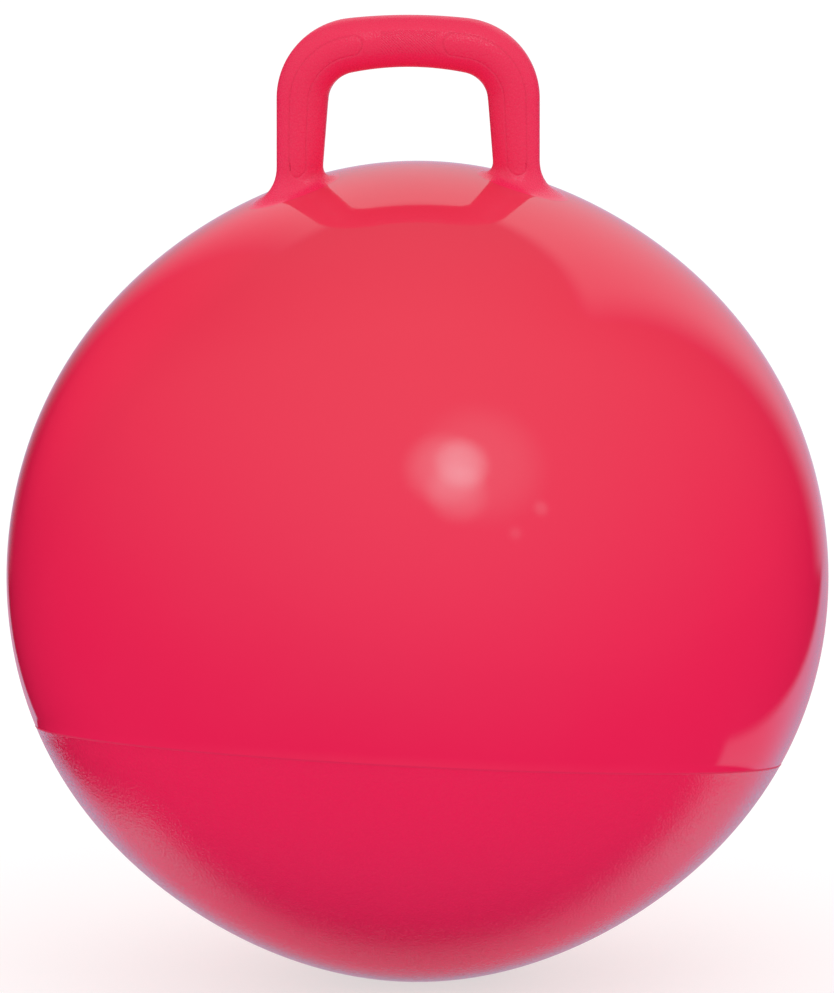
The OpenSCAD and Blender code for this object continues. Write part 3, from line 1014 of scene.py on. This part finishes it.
# %% [markdown]
# ## The studio
#
# A polished ball shows the room that it stands in, so the room matters. It could be built
# from lamps and boards, but each of them would light the matt surfaces too, and every change
# to a reflection would change the colours. So the world tells rays apart with a Light Path
# node: matt surfaces get an even white light, at which a colour renders about as it is
# written, mirrored rays get a studio that is laid out on the sky, and the camera sees plain
# white behind the floor.
#
# Each part of that studio is a cone or a half space of directions. How far a ray lies inside
# one is a dot product, and a soft step over it gives the edge. So a cone is written as its
# direction and the two values at which it starts and is full. Directions are tipped as the
# camera is, with x to its right, y away from it and z up, and stay put when it moves.

# %% Sky and its cones
world = bpy.data.worlds.new("studio")
bpy.context.scene.world = world
world.use_nodes = True
world.cycles.sampling_method = "NONE"
sky_tree = world.node_tree
sky_tree.nodes.clear()
way = add_node(sky_tree, "ShaderNodeTexCoord").outputs["Generated"]
tip = Matrix.Rotation(-CAMERA_RISE, 3, "X")


def towards(x, y, z):
    """How well a ray points in a direction, from -1 to 1."""
    unit = tip @ Vector((x, y, z)).normalized()
    return add_node(sky_tree, "ShaderNodeVectorMath", {0: way, 1: unit},
                    operation="DOT_PRODUCT").outputs["Value"]


def inside(direction, start, full):
    """0 to 1 as a ray turns into a half space or a cone round a direction."""
    return between(sky_tree, towards(*direction), start, full)


def product(*factors):
    """The product of some amounts."""
    result = factors[-1]
    for factor in factors[:-1]:
        result = maths(sky_tree, "MULTIPLY", result, factor)
    return result


def lit(colour, amount):
    """Light of a colour, by an amount that changes over the sky."""
    return mix_colour(sky_tree, amount, BLACK, colour)


def with_light(sky, light):
    """The sky with a light added to it."""
    return mix_colour(sky_tree, 1.0, sky, light, "ADD")


print("the view runs along", [round(share, 3) for share in tip @ Vector((0, 1, 0))])

# %% [markdown]
# ## Bank of light
#
# A wide soft bank of light hangs above and behind the camera. Its mirror image is the pale
# sheen that covers the upper front of the ball and fades downwards. It is dimmer high up
# beyond the ball, where a studio has no lamps.

# %% Bank of light
BANK_COLOUR = (0.90, 1.0, 0.80)
BANK_STRENGTH = 1.3
BANK_CONE = ((0.04, -0.588, 0.808), -0.495, 1.6)
BANK_FAR_CONE, BANK_FAR_SHARE = ((0, 0.62, 0.785), 0.5, 1.0), 0.48

far_side = maths(sky_tree, "MULTIPLY", inside(*BANK_FAR_CONE), BANK_FAR_SHARE)
bank = product(BANK_STRENGTH, inside(*BANK_CONE), maths(sky_tree, "SUBTRACT", 1.0, far_side))
mirrored = scaled(sky_tree, BANK_COLOUR, bank)
print("sky with its bank:", len(sky_tree.nodes), "nodes")

# %% [markdown]
# ## Backdrop
#
# A backdrop stands behind the ball, and the ball mirrors it in a zone along its upper rim.
# It has a right, a left and a top edge. It is bluish low down and white high up, and its
# middle, which only the very rim mirrors, is a pale lilac.

# %% Backdrop
DROP_LOW, DROP_HIGH = (0.31, 0.42, 0.57, 1), (1.0, 1.0, 0.96, 1)
DROP_MIDDLE = (0.60, 0.56, 0.72, 1)
DROP_BEHIND = ((0, 1, 0), 0.0, 0.15)
DROP_RIGHT = ((-0.772, 0.389, 0.503), -0.11, 0.16)
DROP_LEFT = ((0.945, 0.176, 0.277), -0.199, 0.199)
DROP_TOP = ((0, 0, -1), -0.89, -0.81)
DROP_MIDDLE_CONE = ((0, 1, 0), 0.93, 1.0)
DROP_WHITE_FROM = 0.84
HORIZON = ((0, 0, 1), -0.01, 0.02)

above = inside(*HORIZON)
drop = product(inside(*DROP_BEHIND), inside(*DROP_RIGHT), inside(*DROP_LEFT), above, inside(*DROP_TOP))
rise = between(sky_tree, towards(0, 0, 1), 0.0, DROP_WHITE_FROM, smooth=False)
drop_colour = mix_colour(sky_tree, rise, DROP_LOW, DROP_HIGH)
drop_colour = mix_colour(sky_tree, inside(*DROP_MIDDLE_CONE), drop_colour, DROP_MIDDLE)
mirrored = mix_colour(sky_tree, 1.0, mirrored, lit(drop_colour, drop), "LIGHTEN")
print("sky with its backdrop:", len(sky_tree.nodes), "nodes")

# %% [markdown]
# ## Table
#
# Below the horizon the ball mirrors the table that it stands on: the pale band along its
# lower rim. The table has a right, a left and a front edge. The ball's own red falls on it
# close by, so it is warm near the ball and bluish further off and out at the sides. Its
# middle, which only the very rim mirrors, is lilac like that of the backdrop.

# %% Table
TABLE_RIGHT = ((-0.563, 0.228, -0.794), -0.028, 0.028)
TABLE_LEFT = ((0.764, 0.105, -0.636), -0.06, -0.035)
TABLE_FRONT = ((0, 0.743, 0.669), 0.02, 0.08)
TABLE_FAR, TABLE_NEAR = (0.25, 0.56, 0.76, 1), (0.66, 0.25, 0.32, 1)
TABLE_NEAR_CONE = ((0, 0, -1), 0.15, 0.42)
TABLE_SIDE = (0.25, 0.58, 0.64, 1)
TABLE_SIDE_CONE = ((0, 0, -1), 0.20, 0.50)
TABLE_SIDE_FROM, TABLE_SIDE_FULL = 0.25, 0.50
TABLE_LOW = (1.0, 0.19, 0.28, 1)
TABLE_LOW_CONES = (((0, 0, -1), 0.28, 0.40), ((0, 1, 0), 0.80, 0.92))
TABLE_MIDDLE = (0.60, 0.42, 0.54, 1)
TABLE_MIDDLE_CONE = ((0, 1, 0), 0.95, 1.0)

below = maths(sky_tree, "SUBTRACT", 1.0, above)
table = product(inside(*TABLE_RIGHT), inside(*TABLE_LEFT), inside(*TABLE_FRONT), below)
sideways = maths(sky_tree, "ABSOLUTE", towards(1, 0, 0))
at_side = product(inside(*TABLE_SIDE_CONE), between(sky_tree, sideways, TABLE_SIDE_FROM, TABLE_SIDE_FULL))
table_colour = mix_colour(sky_tree, inside(*TABLE_NEAR_CONE), TABLE_FAR, TABLE_NEAR)
table_colour = mix_colour(sky_tree, at_side, table_colour, TABLE_SIDE)
low_down = product(*(inside(*cone) for cone in TABLE_LOW_CONES))
table_colour = mix_colour(sky_tree, low_down, table_colour, TABLE_LOW)
table_colour = mix_colour(sky_tree, inside(*TABLE_MIDDLE_CONE), table_colour, TABLE_MIDDLE)
mirrored = with_light(mirrored, lit(table_colour, table))
print("sky with its table:", len(sky_tree.nodes), "nodes")

# %% [markdown]
# ## Highlight and red glow
#
# Four round lamps hang close together in front of the ball, above it and a little to the
# right. Their images overlap to one bright highlight with a soft halo, and two small lamps
# leave a faint spot each to the lower right of it. A red glow from the upper left, beyond the
# ball, warms the rim there. Each lamp is a direction, the half angle of its cone in degrees
# and a strength.

# %% Highlight and red glow
LAMP_COLOUR = (0.25, 1.0, 1.0, 1)
LAMPS = [
    ((0.205, -0.825, 0.525), 8.8, 2.8), ((0.122, -0.856, 0.503), 12.5, 1.7),
    ((0.187, -0.900, 0.393), 10, 1.45), ((0.298, -0.797, 0.525), 20, 0.8),
    ((0.561, -0.769, 0.307), 2.5, 1.2), ((0.458, -0.866, 0.197), 2.2, 0.8),
]
RED_GLOW = (0.64, 0.02, 0.07, 1)
RED_GLOW_CONE = ((-0.5, 0.7, 0.5), 0.88, 1.0)

mirrored = with_light(mirrored, lit(RED_GLOW, inside(*RED_GLOW_CONE)))
for direction, spread, strength in LAMPS:
    lamp_light = lit(LAMP_COLOUR, inside(direction, cos(radians(spread)), 1.0))
    mirrored = with_light(mirrored, scaled(sky_tree, lamp_light, strength))
print("sky with its lamps:", len(sky_tree.nodes), "nodes")

# %% [markdown]
# ## Light for matt surfaces
#
# The even light grows a little towards both sides and away from the camera, so that the
# colour of the ball holds up to its rim. A last mix then gives each kind of ray its own sky.

# %% Light for matt surfaces
FILL, SIDE_FILL, BACK_FILL = 0.86, 0.40, 0.30
SIDE_POWER = 2.0

rays = add_node(sky_tree, "ShaderNodeLightPath").outputs
side_light = maths(sky_tree, "MULTIPLY", maths(sky_tree, "POWER", sideways, SIDE_POWER), SIDE_FILL)
back_light = maths(sky_tree, "MULTIPLY", maths(sky_tree, "MAXIMUM", towards(0, 1, 0), 0.0), BACK_FILL)
fill = maths(sky_tree, "ADD", back_light, maths(sky_tree, "ADD", side_light, FILL))
seen = maths(sky_tree, "MAXIMUM", rays["Is Camera Ray"], rays["Is Transmission Ray"])
sky = mix_colour(sky_tree, rays["Is Glossy Ray"], grey(sky_tree, fill), mirrored)
sky = mix_colour(sky_tree, seen, sky, WHITE)
background = add_node(sky_tree, "ShaderNodeBackground", {"Color": sky, "Strength": 1.0})
add_node(sky_tree, "ShaderNodeOutputWorld", {"Surface": background.outputs[0]})
print("whole sky:", len(sky_tree.nodes), "nodes")

# %% [markdown]
# ## The floor
#
# The floor is pale paper that keeps the ball's shadow. To the camera it glows a little, so
# that it goes over into the white behind it. To matt surfaces it glows a little too: painted
# light that lifts the underside of the ball. Mirrored rays pass it by, because the table
# that they meet is part of the world above.

# %% Floor
FLOOR_SIZE = 60.0
SEEN_PAPER, LIT_PAPER = (0.42, 0.42, 0.42, 1), (0.88, 0.88, 0.88, 1)
FLOOR_GLOW, FLOOR_BOUNCE = 0.63, 0.15

floor_paper, tree, shader = new_material("floor_paper", Roughness=1.0, Specular_IOR_Level=0.0,
                                         Emission_Color=WHITE)
rays = add_node(tree, "ShaderNodeLightPath").outputs
tree.links.new(mix_colour(tree, rays["Is Camera Ray"], LIT_PAPER, SEEN_PAPER), shader.inputs["Base Color"])
glow = maths(tree, "MULTIPLY", rays["Is Camera Ray"], FLOOR_GLOW)
# The glow to matt rays is painted light: it lifts the ball's underside from below, though the floor is no
# lamp.
bounce = maths(tree, "MULTIPLY", rays["Is Diffuse Ray"], FLOOR_BOUNCE)
tree.links.new(maths(tree, "ADD", glow, bounce), shader.inputs["Emission Strength"])

bm = bmesh.new()
bmesh.ops.create_grid(bm, x_segments=1, y_segments=1, size=FLOOR_SIZE)
floor_mesh = bpy.data.meshes.new("floor")
bm.to_mesh(floor_mesh)
bm.free()
floor_mesh.materials.append(floor_paper)
floor = bpy.data.objects.new("floor", floor_mesh)
floor.visible_glossy = False
bpy.context.scene.collection.objects.link(floor)
print("floor:", 2 * FLOOR_SIZE, "m wide")

# %% [markdown]
# ## Overhead lamp
#
# Even light from all round leaves only a faint shadow, and the ball would seem to float. One
# large, weak lamp overhead deepens the shadow under it and keeps it soft. The lamp is hidden
# from mirrored rays, which have the lamps of the sky.

# %% Overhead lamp
LAMP_SIZE, LAMP_POWER = 1.6, 4.0
LAMP_PLACE = (0.5, -1.3, 2.4)

lamp_data = bpy.data.lights.new("overhead", "AREA")
lamp_data.shape = "DISK"
lamp_data.size = LAMP_SIZE
lamp_data.energy = LAMP_POWER
lamp = bpy.data.objects.new("overhead", lamp_data)
lamp.location = LAMP_PLACE
lamp.rotation_euler = (MIDDLE - lamp.location).to_track_quat("-Z", "Y").to_euler()
lamp.visible_glossy = False
lamp.visible_camera = False
bpy.context.scene.collection.objects.link(lamp)
print("lamp:", LAMP_POWER, "W,", round((MIDDLE - lamp.location).length, 2), "m from the ball's middle")
